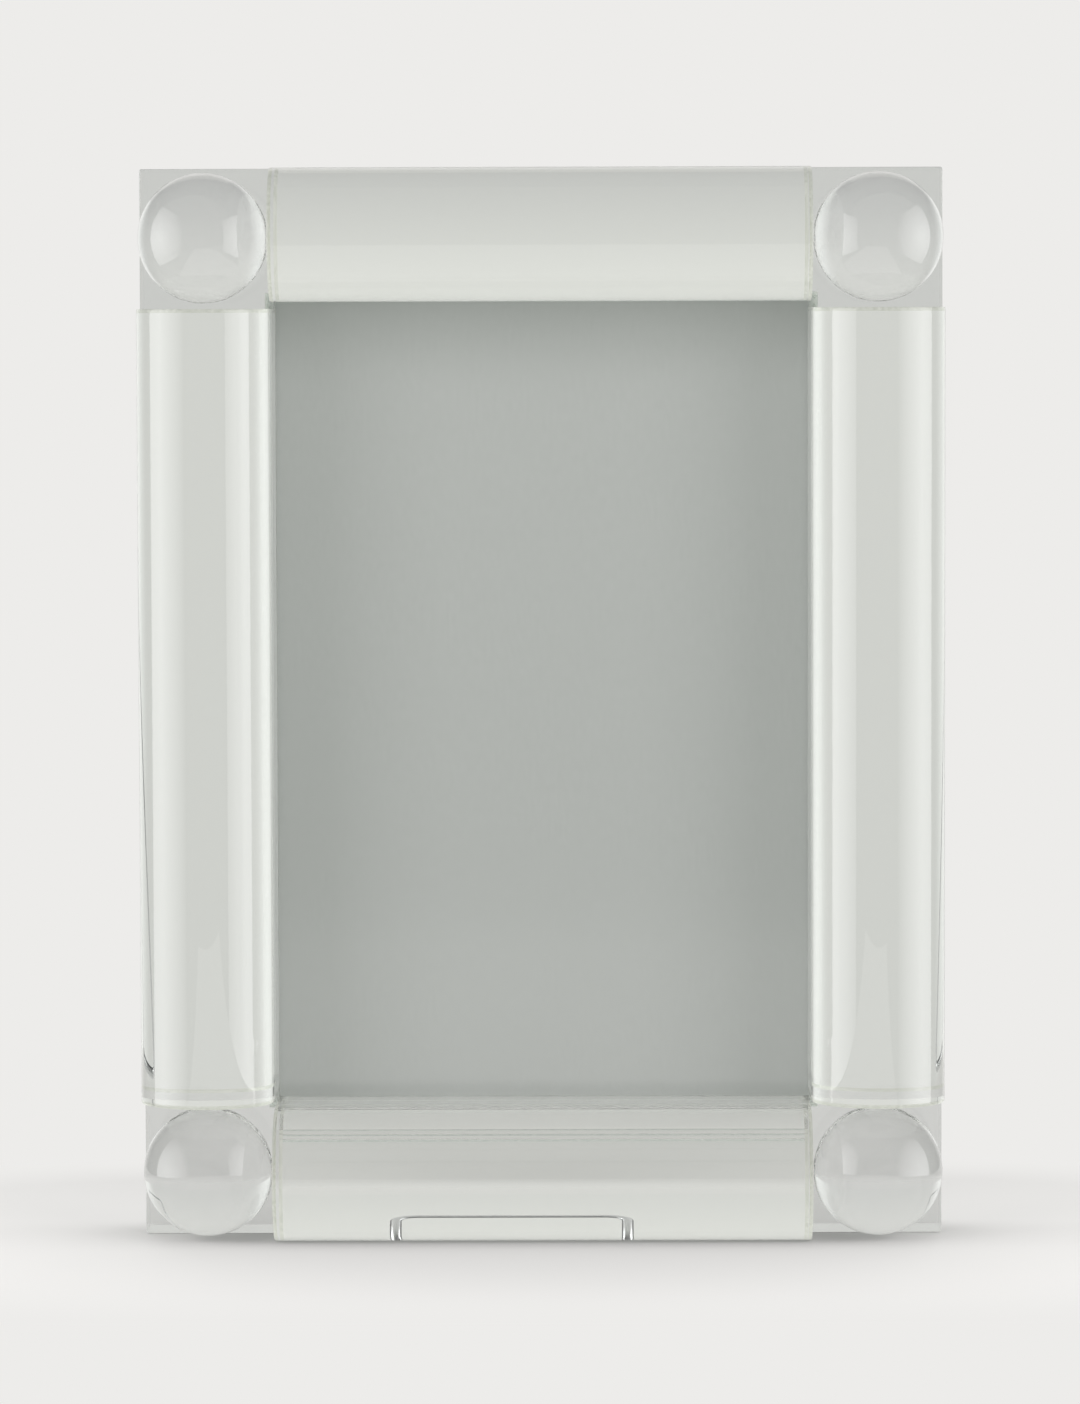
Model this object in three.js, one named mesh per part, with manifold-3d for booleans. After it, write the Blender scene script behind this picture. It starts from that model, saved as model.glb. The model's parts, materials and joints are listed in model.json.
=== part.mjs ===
// Crystal glass picture frame for a 4 by 6 inch photograph.
// Units are millimetres. X is to the right, Z is up, and the front faces -Y.
// Y is 0 on the front faces of the corner blocks, and Z is 0 where the frame stands.

import * as THREE from 'three';
import { mergeVertices } from 'three/addons/utils/BufferGeometryUtils.js';
import Module from 'manifold-3d';

const wasm = await Module();
wasm.setup();

// Crystal body
const FRAME_WIDTH = 152.4;
const FRAME_HEIGHT = 203.4;
const BLOCK_WIDTH = 25.2;
const BLOCK_HEIGHT = 26.5;
const BLOCK_DEPTH = 17;
const BAR_WIDTH = 25.3;
const BAR_RISE = 9; // from the block faces forward to where the round front starts
const BALL_DIAMETER = 24.6;
const BALL_RISE = 9; // from the block faces forward to the ball's centre
const BOND_LINE = 0.1; // clear adhesive between two crystal pieces

// Pocket behind the window
const LEDGE_DEPTH = 8.5; // from the block faces back to the ledge that carries the cover glass
const LEDGE_WIDTH = 1.8;
const POCKET_CLEARANCE = 0.3;
const SEAT_GAP = 0.1;
const COVER_GLASS_THICKNESS = 2;
const CARD_THICKNESS = 0.5;
const CARD_MARGIN = 0.75; // how much smaller than the cover glass the card is, on each side
const CARD_SHIFT_X = 0.7;
const CARD_SHIFT_Z = 0.3;
const BOARD_THICKNESS = 3;

// Turn latches on the backing board
const LATCH_WIDTH = 7;
const LATCH_THICKNESS = 1;
const LATCH_EDGE_DISTANCE = 7; // from the board's side edge in to the pivot
const LATCH_SPACING = 104; // between the two latches on one side
const LATCH_ENGAGEMENT = 0.9; // how far a tip reaches into its slot
const SLOT_DEPTH = 1.3;
const SLOT_CLEARANCE = 0.4;
const SCREW_DIAMETER = 2.4;
const SCREW_HEAD_DIAMETER = 5.6;
const SCREW_HEAD_HEIGHT = 1.2;
const SCREW_REACH = 2.2; // into the board
const SCREW_SLOT_WIDTH = 0.7;
const SCREW_SLOT_DEPTH = 0.6;
const HOLE_GAP = 0.2; // around a shank

// Wire easel leg and its hinge
const WIRE_DIAMETER = 2.4;
const LEG_LENGTH = 131.5;
const LEG_SPREAD = 47; // between the centre lines of the two arms
const LEG_SHIFT = -7; // of the whole easel, from the middle of the frame
const LEG_OPEN_ANGLE = 28;
const LEG_TOP_BEND = 4;
const LEG_FOOT_BEND = 5;
const LEG_BACK_CLEARANCE = 0.3; // between the folded wire and the back of the crystal
const PLATE_HEIGHT = 24;
const PLATE_LATCH_GAP = 2.2; // up to the blades of the upper latches
const PLATE_THICKNESS = 1;
const PLATE_OVERHANG = 5; // of the plate beyond the centre lines of the arms
const PLATE_CORNER = 3;
const KNUCKLE_WALL = 0.9;
const KNUCKLE_LENGTH = 7;
const KNUCKLE_GAP = 0.3; // around the wire
const STOP_LENGTH = 3;
const STOP_WALL = 0.9;
const STOP_DROP = 9; // from the hinge axis down to the lower edge of a stop
const STOP_SIDE_GAP = 0.5;
const STOP_CONTACT_GAP = 0.3;
const RIVET_DIAMETER = 3;
const RIVET_HEAD_DIAMETER = 5;
const RIVET_HEAD_HEIGHT = 0.9;
const RIVET_REACH = 2.2;
const RIVET_EDGE_DISTANCE = 4.5;

// Smoothness
const BAR_ARC_STEPS = 28;
const BALL_RINGS = 16;
const BALL_SIDES = 36;
const ROUND_SIDES = 16;
const WIRE_SIDES = 8;
const WIRE_STEPS = 130;
const CUT_MARGIN = 1; // how far a cutting tool reaches past what it cuts

// Places that follow from the sizes above
const barRadius = BAR_WIDTH / 2;
const columnX = (FRAME_WIDTH - BLOCK_WIDTH) / 2;
const lowerBlockZ = BLOCK_HEIGHT / 2;
const upperBlockZ = FRAME_HEIGHT - BLOCK_HEIGHT / 2;
const windowHalfWidth = columnX - barRadius;
const windowBottom = BAR_WIDTH;
const windowTop = FRAME_HEIGHT - BAR_WIDTH;
const windowMiddle = (windowBottom + windowTop) / 2;
const pocketHalfWidth = windowHalfWidth + LEDGE_WIDTH;
const pocketHeight = windowTop - windowBottom + 2 * LEDGE_WIDTH;
const paneWidth = 2 * (pocketHalfWidth - POCKET_CLEARANCE);
const paneHeight = pocketHeight - 2 * POCKET_CLEARANCE;
const paneFront = LEDGE_DEPTH + SEAT_GAP;
const cardFront = paneFront + COVER_GLASS_THICKNESS + SEAT_GAP;
const boardFront = cardFront + CARD_THICKNESS + SEAT_GAP;
const boardBack = boardFront + BOARD_THICKNESS;
const latchFront = boardBack + HOLE_GAP;
const latchBack = latchFront + LATCH_THICKNESS;
const latchX = paneWidth / 2 - LATCH_EDGE_DISTANCE;
const latchReach = pocketHalfWidth + LATCH_ENGAGEMENT - latchX;
const wireRadius = WIRE_DIAMETER / 2;
const hingeY = BLOCK_DEPTH + LEG_BACK_CLEARANCE + wireRadius;
const hingeHeight = windowMiddle + LATCH_SPACING / 2 - LATCH_WIDTH / 2 - PLATE_LATCH_GAP - PLATE_HEIGHT / 2;
const plateFront = boardBack + SEAT_GAP;
const plateBack = plateFront + PLATE_THICKNESS;
const openAngle = THREE.MathUtils.degToRad(LEG_OPEN_ANGLE);
const knuckleRadius = wireRadius + KNUCKLE_GAP + KNUCKLE_WALL;
const knuckleX = LEG_SPREAD / 2 - LEG_TOP_BEND - KNUCKLE_LENGTH / 2;

// A turning latch tip passes through its slot on a circle about the pivot
const slotHalfLength = SLOT_CLEARANCE
  + Math.sqrt(latchReach ** 2 - (latchReach - LATCH_ENGAGEMENT) ** 2);

// Pivot of each turn latch: X, Z and the place in its name
const latchPoints = [['left', -1], ['right', 1]].flatMap(([sideName, side]) => (
  [['lower', -1], ['upper', 1]].map(([endName, end]) => (
    [side * latchX, windowMiddle + end * LATCH_SPACING / 2, `${endName}_${sideName}`]
  ))
));

// Rivets at the corners of the hinge plate: X and Z
const rivetPoints = [-1, 1].flatMap((side) => [-1, 1].map((end) => [
  LEG_SHIFT + side * (knuckleX - KNUCKLE_LENGTH / 2 - RIVET_EDGE_DISTANCE),
  hingeHeight + end * (PLATE_HEIGHT / 2 - RIVET_EDGE_DISTANCE),
]));

// Materials
const crystal = new THREE.MeshStandardMaterial({
  color: 0xe9eeea, roughness: 0.03, metalness: 0, transparent: true, opacity: 0.35,
});
const pane = new THREE.MeshStandardMaterial({
  color: 0xdfe8e2, roughness: 0.03, metalness: 0, transparent: true, opacity: 0.25,
});
const card = new THREE.MeshStandardMaterial({ color: 0xa9aba9, roughness: 0.6, metalness: 0 });
const boardCloth = new THREE.MeshStandardMaterial({ color: 0x8d8f92, roughness: 0.9, metalness: 0 });
const steel = new THREE.MeshStandardMaterial({ color: 0xc8cacd, roughness: 0.3, metalness: 1 });
const chrome = new THREE.MeshStandardMaterial({ color: 0xdfe1e4, roughness: 0.12, metalness: 1 });

// Solid modelling helpers

function toSolid(geometry) {
  const plain = geometry.clone();
  plain.deleteAttribute('normal');
  plain.deleteAttribute('uv');
  const merged = mergeVertices(plain, 1e-4);
  return new wasm.Manifold(new wasm.Mesh({
    numProp: 3,
    vertProperties: new Float32Array(merged.attributes.position.array),
    triVerts: new Uint32Array(merged.index.array),
  }));
}

function toGeometry(solid) {
  const mesh = solid.getMesh();
  const geometry = new THREE.BufferGeometry();
  geometry.setAttribute('position', new THREE.BufferAttribute(mesh.vertProperties, 3));
  geometry.setIndex(new THREE.BufferAttribute(mesh.triVerts, 1));
  geometry.computeVertexNormals();
  return geometry;
}

function cut(body, tools) {
  let solid = toSolid(body);
  for (const tool of tools) solid = solid.subtract(toSolid(tool));
  return toGeometry(solid);
}

function join(pieces) {
  let solid = toSolid(pieces[0]);
  for (const piece of pieces.slice(1)) solid = solid.add(toSolid(piece));
  return toGeometry(solid);
}

// A box given by its lowest and highest corners
function boxBetween(low, high) {
  const size = high.map((value, axis) => value - low[axis]);
  const geometry = new THREE.BoxGeometry(...size);
  return geometry.translate(...high.map((value, axis) => (value + low[axis]) / 2));
}

const ascending = (a, b) => a - b;

// A box between two distances from the middle, on one side of X
function sideBox(side, near, far, [lowY, highY], [lowZ, highZ]) {
  const [lowX, highX] = [side * near, side * far].sort(ascending);
  return boxBetween([lowX, lowY, lowZ], [highX, highY, highZ]);
}

// A round bar along Y
function roundAlongY(radius, front, back, x, z) {
  const geometry = new THREE.CylinderGeometry(radius, radius, back - front, ROUND_SIDES);
  return geometry.translate(x, (front + back) / 2, z);
}

// A flat shape drawn in X and Z, given its thickness along Y
function plateFromShape(shape, front, back, curveSteps) {
  const geometry = new THREE.ExtrudeGeometry(shape, {
    depth: back - front, bevelEnabled: false, curveSegments: curveSteps,
  });
  return geometry.rotateX(Math.PI / 2).translate(0, back, 0);
}

function roundedRectangle(halfWidth, halfHeight, radius) {
  const shape = new THREE.Shape();
  shape.moveTo(-halfWidth + radius, -halfHeight);
  shape.lineTo(halfWidth - radius, -halfHeight);
  shape.absarc(halfWidth - radius, -halfHeight + radius, radius, -Math.PI / 2, 0);
  shape.lineTo(halfWidth, halfHeight - radius);
  shape.absarc(halfWidth - radius, halfHeight - radius, radius, 0, Math.PI / 2);
  shape.lineTo(-halfWidth + radius, halfHeight);
  shape.absarc(-halfWidth + radius, halfHeight - radius, radius, Math.PI / 2, Math.PI);
  shape.lineTo(-halfWidth, -halfHeight + radius);
  shape.absarc(-halfWidth + radius, -halfHeight + radius, radius, Math.PI, 1.5 * Math.PI);
  return shape;
}

const frame = new THREE.Group();

function addPiece(name, geometry, material, place = [0, 0, 0], parent = frame) {
  const mesh = new THREE.Mesh(geometry, material);
  mesh.name = name;
  mesh.position.set(...place);
  parent.add(mesh);
  return mesh;
}

// Bars: straight sides, flat back and half-round front, with the ledge cut into the inner side

// The bar lies along its own Z, and innerSide says which side of its own X faces the window
function barGeometry(length, innerSide, slotPlaces = []) {
  const profile = new THREE.Shape();
  profile.moveTo(-barRadius, BLOCK_DEPTH);
  profile.lineTo(barRadius, BLOCK_DEPTH);
  profile.lineTo(barRadius, -BAR_RISE);
  profile.absarc(0, -BAR_RISE, barRadius, 0, -Math.PI, true);
  profile.closePath();
  const bar = new THREE.ExtrudeGeometry(profile, {
    depth: length, bevelEnabled: false, curveSegments: BAR_ARC_STEPS,
  }).translate(0, 0, -length / 2);

  const ledgeX = barRadius - LEDGE_WIDTH;
  const cutLength = length / 2 + CUT_MARGIN;
  const tools = [
    sideBox(innerSide, ledgeX, barRadius + CUT_MARGIN,
      [LEDGE_DEPTH, BLOCK_DEPTH + CUT_MARGIN], [-cutLength, cutLength]),
  ];
  for (const place of slotPlaces) {
    tools.push(sideBox(innerSide, ledgeX - SLOT_DEPTH, barRadius,
      [latchFront - SLOT_CLEARANCE, latchBack + SLOT_CLEARANCE],
      [place - slotHalfLength, place + slotHalfLength]));
  }
  return cut(bar, tools);
}

function addBars() {
  const uprightLength = FRAME_HEIGHT - 2 * BLOCK_HEIGHT - 2 * BOND_LINE;
  const crossLength = FRAME_WIDTH - 2 * BLOCK_WIDTH - 2 * BOND_LINE;
  const latchPlaces = [-LATCH_SPACING / 2, LATCH_SPACING / 2];
  for (const [name, side] of [['left', -1], ['right', 1]]) {
    addPiece(`bar_${name}`, barGeometry(uprightLength, -side, latchPlaces), crystal,
      [side * columnX, 0, FRAME_HEIGHT / 2]);
  }
  for (const [name, height, innerSide] of [
    ['bottom', barRadius, -1], ['top', FRAME_HEIGHT - barRadius, 1]]) {
    const bar = addPiece(`bar_${name}`, barGeometry(crossLength, innerSide), crystal,
      [0, 0, height]);
    bar.rotation.y = Math.PI / 2;
  }
}

// Corner blocks with square fronts, each with the pocket's corner cut out of it, and a ball
// ground flat where it is bonded to the block

function blockGeometry(side, end) {
  const block = new THREE.BoxGeometry(BLOCK_WIDTH, BLOCK_DEPTH, BLOCK_HEIGHT)
    .translate(0, BLOCK_DEPTH / 2, 0);
  const blockZ = end > 0 ? upperBlockZ : lowerBlockZ;
  const pocketX = pocketHalfWidth - columnX;
  const pocketZ = windowMiddle + end * pocketHeight / 2 - blockZ;
  const farX = -side * (BLOCK_WIDTH / 2 + CUT_MARGIN);
  const farZ = -end * (BLOCK_HEIGHT / 2 + CUT_MARGIN);
  const [lowX, highX] = [side * pocketX, farX].sort(ascending);
  const [lowZ, highZ] = [pocketZ, farZ].sort(ascending);
  return cut(block, [boxBetween(
    [lowX, LEDGE_DEPTH, lowZ], [highX, BLOCK_DEPTH + CUT_MARGIN, highZ],
  )]);
}

function ballGeometry() {
  const radius = BALL_DIAMETER / 2;
  const flatLevel = -(BALL_RISE - BOND_LINE);
  const flatAngle = Math.acos(-flatLevel / radius);
  const profile = [new THREE.Vector2(0, flatLevel)];
  for (let ring = 0; ring <= BALL_RINGS; ring += 1) {
    const angle = flatAngle + (Math.PI - flatAngle) * ring / BALL_RINGS;
    profile.push(new THREE.Vector2(radius * Math.sin(angle), -radius * Math.cos(angle)));
  }
  profile[profile.length - 1].x = 0;
  return toGeometry(toSolid(new THREE.LatheGeometry(profile, BALL_SIDES).rotateX(Math.PI)));
}

function addCorners() {
  for (const [sideName, side] of [['left', -1], ['right', 1]]) {
    for (const [endName, end] of [['bottom', -1], ['top', 1]]) {
      const corner = new THREE.Group();
      corner.position.set(side * columnX, 0, end > 0 ? upperBlockZ : lowerBlockZ);
      frame.add(corner);
      const place = `${endName}_${sideName}`;
      addPiece(`corner_block_${place}`, blockGeometry(side, end), crystal, [0, 0, 0], corner);
      addPiece(`corner_ball_${place}`, ballGeometry(), crystal, [0, -BALL_RISE, 0], corner);
    }
  }
}

// What lies in the pocket: cover glass, insert card and backing board

function addPocketStack() {
  const glass = boxBetween(
    [-paneWidth / 2, paneFront, -paneHeight / 2],
    [paneWidth / 2, paneFront + COVER_GLASS_THICKNESS, paneHeight / 2],
  );
  addPiece('cover_glass', glass, pane, [0, 0, windowMiddle]);

  const cardHalfWidth = paneWidth / 2 - CARD_MARGIN;
  const cardHalfHeight = paneHeight / 2 - CARD_MARGIN;
  const insert = boxBetween(
    [-cardHalfWidth, cardFront, -cardHalfHeight],
    [cardHalfWidth, cardFront + CARD_THICKNESS, cardHalfHeight],
  );
  addPiece('photo_card', insert, card, [CARD_SHIFT_X, 0, windowMiddle + CARD_SHIFT_Z]);

  const board = boxBetween(
    [-paneWidth / 2, boardFront, -paneHeight / 2],
    [paneWidth / 2, boardBack, paneHeight / 2],
  );
  const tools = [];
  for (const [x, z] of latchPoints) {
    tools.push(roundAlongY(SCREW_DIAMETER / 2 + HOLE_GAP,
      boardBack - SCREW_REACH - HOLE_GAP, boardBack + CUT_MARGIN, x, z - windowMiddle));
  }
  for (const [x, z] of rivetPoints) {
    tools.push(roundAlongY(RIVET_DIAMETER / 2 + HOLE_GAP,
      boardBack - RIVET_REACH - HOLE_GAP, boardBack + CUT_MARGIN, x, z - windowMiddle));
  }
  addPiece('backing_board', cut(board, tools), boardCloth, [0, 0, windowMiddle]);
}

// Turn latches: each turns on its own screw, and its tip holds the board in by a slot in the bar

function addLatches() {
  const straight = latchReach - LATCH_WIDTH / 2;
  const shape = new THREE.Shape();
  shape.absarc(straight, 0, LATCH_WIDTH / 2, -Math.PI / 2, Math.PI / 2);
  shape.absarc(-straight, 0, LATCH_WIDTH / 2, Math.PI / 2, 1.5 * Math.PI);
  shape.closePath();
  const hole = roundAlongY(SCREW_DIAMETER / 2 + HOLE_GAP,
    latchFront - CUT_MARGIN, latchBack + CUT_MARGIN, 0, 0);
  const headFront = latchBack + HOLE_GAP;
  const headBack = headFront + SCREW_HEAD_HEIGHT;
  for (const [x, z, place] of latchPoints) {
    const blade = plateFromShape(shape, latchFront, latchBack, ROUND_SIDES / 2);
    addPiece(`turn_latch_${place}`, cut(blade, [hole]), steel, [x, 0, z]);

    const shank = roundAlongY(SCREW_DIAMETER / 2, boardBack - SCREW_REACH,
      headFront + SCREW_HEAD_HEIGHT / 2, 0, 0);
    const head = roundAlongY(SCREW_HEAD_DIAMETER / 2, headFront, headBack, 0, 0);
    const driverSlot = boxBetween(
      [-SCREW_HEAD_DIAMETER, headBack - SCREW_SLOT_DEPTH, -SCREW_SLOT_WIDTH / 2],
      [SCREW_HEAD_DIAMETER, headBack + CUT_MARGIN, SCREW_SLOT_WIDTH / 2],
    );
    addPiece(`latch_screw_${place}`, cut(join([shank, head]), [driverSlot]), steel, [x, 0, z]);
  }
}

// Hinge plate: a riveted plate with two rolled knuckles and two stops that limit the opening

function hingePlateGeometry() {
  const halfWidth = LEG_SPREAD / 2 + PLATE_OVERHANG;
  const plate = plateFromShape(roundedRectangle(halfWidth, PLATE_HEIGHT / 2, PLATE_CORNER),
    plateFront, plateBack, ROUND_SIDES / 4);
  const pieces = [plate];
  for (const side of [-1, 1]) {
    pieces.push(knuckleTube(side), knuckleWeb(side), ...stopPieces(side));
  }
  const bores = [-1, 1].map((side) => knuckleBore(side));
  const holes = rivetPoints.map(([x, z]) => roundAlongY(RIVET_DIAMETER / 2 + HOLE_GAP,
    plateFront - CUT_MARGIN, plateBack + CUT_MARGIN, x - LEG_SHIFT, z - hingeHeight));
  return cut(join(pieces), [...bores, ...holes]);
}

function roundAlongX(radius, length, x, y) {
  const geometry = new THREE.CylinderGeometry(radius, radius, length, ROUND_SIDES);
  return geometry.rotateZ(Math.PI / 2).translate(x, y, 0);
}

function knuckleTube(side) {
  return roundAlongX(knuckleRadius, KNUCKLE_LENGTH, side * knuckleX, hingeY);
}

function knuckleBore(side) {
  return roundAlongX(wireRadius + KNUCKLE_GAP, KNUCKLE_LENGTH + CUT_MARGIN,
    side * knuckleX, hingeY);
}

// The strip that rises from the plate and rolls into the knuckle
function knuckleWeb(side) {
  return boxBetween(
    [side * knuckleX - KNUCKLE_LENGTH / 2, plateBack - PLATE_THICKNESS / 2,
      knuckleRadius - KNUCKLE_WALL],
    [side * knuckleX + KNUCKLE_LENGTH / 2, hingeY, knuckleRadius],
  );
}

// A post beside the arm and a lip behind it, which the open arm rests on
function stopPieces(side) {
  const armX = LEG_SPREAD / 2;
  const lipFront = hingeY + STOP_DROP * Math.tan(openAngle)
    + wireRadius / Math.cos(openAngle) + STOP_CONTACT_GAP;
  const lipBack = lipFront + STOP_WALL;
  const postX = armX + wireRadius + STOP_SIDE_GAP;
  const rows = [-STOP_DROP, -STOP_DROP + STOP_LENGTH];
  return [
    sideBox(side, postX, postX + STOP_WALL, [plateBack - PLATE_THICKNESS / 2, lipBack], rows),
    sideBox(side, armX - wireRadius, postX + STOP_WALL, [lipFront, lipBack], rows),
  ];
}

function addHinge() {
  addPiece('hinge_plate', hingePlateGeometry(), steel, [LEG_SHIFT, 0, hingeHeight]);
  const headFront = plateBack + SEAT_GAP;
  rivetPoints.forEach(([x, z], index) => {
    const shank = roundAlongY(RIVET_DIAMETER / 2, boardBack - RIVET_REACH,
      headFront + RIVET_HEAD_HEIGHT / 2, 0, 0);
    const head = roundAlongY(RIVET_HEAD_DIAMETER / 2, headFront,
      headFront + RIVET_HEAD_HEIGHT, 0, 0);
    addPiece(`hinge_rivet_${index + 1}`, join([shank, head]), steel, [x, 0, z]);
  });
}

// Easel leg: one wire, from one knuckle down, across the foot and up to the other knuckle

function legPath() {
  const armX = LEG_SPREAD / 2;
  const innerX = knuckleX - KNUCKLE_LENGTH / 2 - CUT_MARGIN;
  const foot = -LEG_LENGTH + wireRadius;
  const at = (x, z) => new THREE.Vector3(x, 0, z);
  const path = new THREE.CurvePath();
  const bend = (a, corner, b) => path.add(new THREE.QuadraticBezierCurve3(a, corner, b));
  const run = (a, b) => path.add(new THREE.LineCurve3(a, b));
  run(at(-innerX, 0), at(-armX + LEG_TOP_BEND, 0));
  bend(at(-armX + LEG_TOP_BEND, 0), at(-armX, 0), at(-armX, -LEG_TOP_BEND));
  run(at(-armX, -LEG_TOP_BEND), at(-armX, foot + LEG_FOOT_BEND));
  bend(at(-armX, foot + LEG_FOOT_BEND), at(-armX, foot), at(-armX + LEG_FOOT_BEND, foot));
  run(at(-armX + LEG_FOOT_BEND, foot), at(armX - LEG_FOOT_BEND, foot));
  bend(at(armX - LEG_FOOT_BEND, foot), at(armX, foot), at(armX, foot + LEG_FOOT_BEND));
  run(at(armX, foot + LEG_FOOT_BEND), at(armX, -LEG_TOP_BEND));
  bend(at(armX, -LEG_TOP_BEND), at(armX, 0), at(armX - LEG_TOP_BEND, 0));
  run(at(armX - LEG_TOP_BEND, 0), at(innerX, 0));
  return path;
}

function addLeg() {
  const section = new THREE.Shape();
  section.absarc(0, 0, wireRadius, 0, 2 * Math.PI);
  const wire = new THREE.ExtrudeGeometry(section, {
    steps: WIRE_STEPS, extrudePath: legPath(), bevelEnabled: false,
    curveSegments: WIRE_SIDES / 2,
  });
  const leg = addPiece('easel_leg', wire, chrome, [LEG_SHIFT, hingeY, hingeHeight]);
  leg.rotation.x = openAngle;
}

addCorners();
addBars();
addPocketStack();
addLatches();
addHinge();
addLeg();

export default frame;
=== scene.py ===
import json
import math

import bmesh
import bpy
from mathutils import Matrix, Vector


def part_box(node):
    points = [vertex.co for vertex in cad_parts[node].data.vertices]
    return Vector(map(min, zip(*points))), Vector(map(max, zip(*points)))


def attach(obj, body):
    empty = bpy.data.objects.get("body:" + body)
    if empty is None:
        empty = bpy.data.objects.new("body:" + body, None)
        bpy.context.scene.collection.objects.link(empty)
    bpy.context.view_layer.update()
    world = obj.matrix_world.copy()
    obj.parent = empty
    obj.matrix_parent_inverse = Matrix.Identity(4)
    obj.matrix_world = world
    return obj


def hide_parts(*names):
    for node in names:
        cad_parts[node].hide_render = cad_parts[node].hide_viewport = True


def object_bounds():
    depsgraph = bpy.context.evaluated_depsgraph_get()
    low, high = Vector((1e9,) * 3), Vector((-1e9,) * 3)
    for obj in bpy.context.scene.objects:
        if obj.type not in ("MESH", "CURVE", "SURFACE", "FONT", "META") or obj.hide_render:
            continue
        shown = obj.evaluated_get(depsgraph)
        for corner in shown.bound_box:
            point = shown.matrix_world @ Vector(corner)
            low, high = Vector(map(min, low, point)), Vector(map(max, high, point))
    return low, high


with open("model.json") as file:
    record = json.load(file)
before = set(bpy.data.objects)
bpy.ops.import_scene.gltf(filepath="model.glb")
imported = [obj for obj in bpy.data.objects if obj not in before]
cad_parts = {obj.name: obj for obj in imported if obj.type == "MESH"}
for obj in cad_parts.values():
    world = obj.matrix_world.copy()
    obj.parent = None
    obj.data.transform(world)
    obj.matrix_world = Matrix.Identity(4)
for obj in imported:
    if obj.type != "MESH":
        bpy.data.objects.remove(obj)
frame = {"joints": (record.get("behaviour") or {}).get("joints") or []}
cad_low, cad_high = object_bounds()
scene = bpy.context.scene

# Everything is in metres, X to the right, Z up, and the front faces -Y
MM = 0.001
QUARTER_TURN = math.pi / 2

# Camera, solved from the frame's corners in the photograph
PHOTO_HEIGHT = 1404
FOCAL_PIXELS = 6048
SENSOR = 36
CAMERA_PLACE = (9.6 * MM, -1150.8 * MM, 174.4 * MM)
CAMERA_PITCH = -0.0629
CAMERA_YAW = 0.0085
CAMERA_ROLL = 0.0030

# Colours of the studio
BACKDROP = (0.847, 0.839, 0.823)
BACKDROP_LOW = (0.74, 0.74, 0.73)  # what clear glass shows of the backdrop low down
BACKDROP_HIGH = (0.94, 0.94, 0.91)  # and high up
SIDE_GLOW = (1.19, 1.20, 1.18)  # and obliquely to its sides, where the softboxes stand
ROOM = (0.12, 0.12, 0.12)  # what surfaces mirror of the room in front
FILL = (0.34, 0.34, 0.34)  # the room's light on dull surfaces

# Directions between which the studio changes, as parts of a unit vector
RISE_SLOPE = (-0.6, 0.6)  # upwards, from the low colour of the backdrop to the high one
BEHIND_SLOPE = (0.70, 0.92)  # backwards, from the room to the backdrop
OBLIQUE_SLOPE = (0.52, 0.82)  # sideways, from the backdrop to the glow
LEVEL_SLOPE = (0.90, 0.97)  # straight sideways, from the glow to the backdrop again

# Lamps
SOFTBOX_PLACE = (0.457, -0.235, 0.225)
SOFTBOX_WIDTH = 0.64
SOFTBOX_HEIGHT = 0.65
SOFTBOX_TURN = math.radians(11.7)
SOFTBOX_SPREAD = math.radians(95)
SOFTBOX_POWER = 1.25
FRONT_LIGHT_PLACE = (0.78, -0.95, 0.50)
FRONT_LIGHT_SIZE = (0.6, 0.6)
FRONT_LIGHT_POWER = 11
TOP_LIGHT_PLACE = (0.0, 0.65, 1.00)
TOP_LIGHT_SIZE = (1.0, 1.0)
TOP_LIGHT_POWER = 2.9

# Table
TABLE_FRONT = -0.57
TABLE_BACK = 0.20
TABLE_HALF_WIDTH = 0.18
TABLE_GAP = 0.1 * MM
TABLE_TINT = (0.80, 0.79, 0.775)
SHADOW_START = 0.021  # from the frame to where its shadow starts to fade
SHADOW_REACH = 0.085  # and to where it ends
SHADOW_BEHIND = 0.45  # how much of it shows behind the frame, where a painted glow lightens the rest of it

# Clearances of the frame
BOND_LINE = 0.1 * MM
SEAT_GAP = 0.1 * MM
POCKET_CLEARANCE = 0.3 * MM
HOLE_GAP = 0.2 * MM

# Glass
GLASS_IOR = 1.52
GLASS_EDGE = 0.2 * MM
GLASS_CORNER = 0.5 * MM
BAR_END_INSET = 0.12 * MM
BAR_END_RISE = 0.7 * MM
PAINTED_SHADOW_LINES = (8.3 * MM, 7.95 * MM, 7.5 * MM)  # heights of the painted shadow lines across the back of the bottom bar: dark grooves that stand in for the shadow the bar casts on the table behind it
PAINTED_SHADOW_LINE_WIDTH = 0.15 * MM
PAINTED_SHADOW_LINE_DEPTH = 0.06 * MM
SLOT_CLEARANCE = 0.4 * MM
SLOT_DEPTH = 1.3 * MM

# Latches, screws and rivets
LATCH_EDGE = 0.25 * MM
SCREW_RADIUS = 1.2 * MM
SCREW_TIP_SHARE = 0.6  # the tip's radius, as a part of the screw's
SCREW_TIP_LENGTH = 0.5 * MM
SCREW_HEAD_HEIGHT = 1.2 * MM
SCREW_HEAD_RIM = 0.45 * MM
SCREW_SLOT_WIDTH = 0.7 * MM
SCREW_SLOT_DEPTH = 0.55 * MM
SCREW_SLOT_REACH = 2.2  # the slot's cutter, as a multiple of the head's radius
SCREW_TURN_X = 37  # the slots point in various directions, which follow from where the screws are
SCREW_TURN_Z = 53
RIVET_RADIUS = 1.5 * MM
HEAD_EDGE = 0.1 * MM

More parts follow.
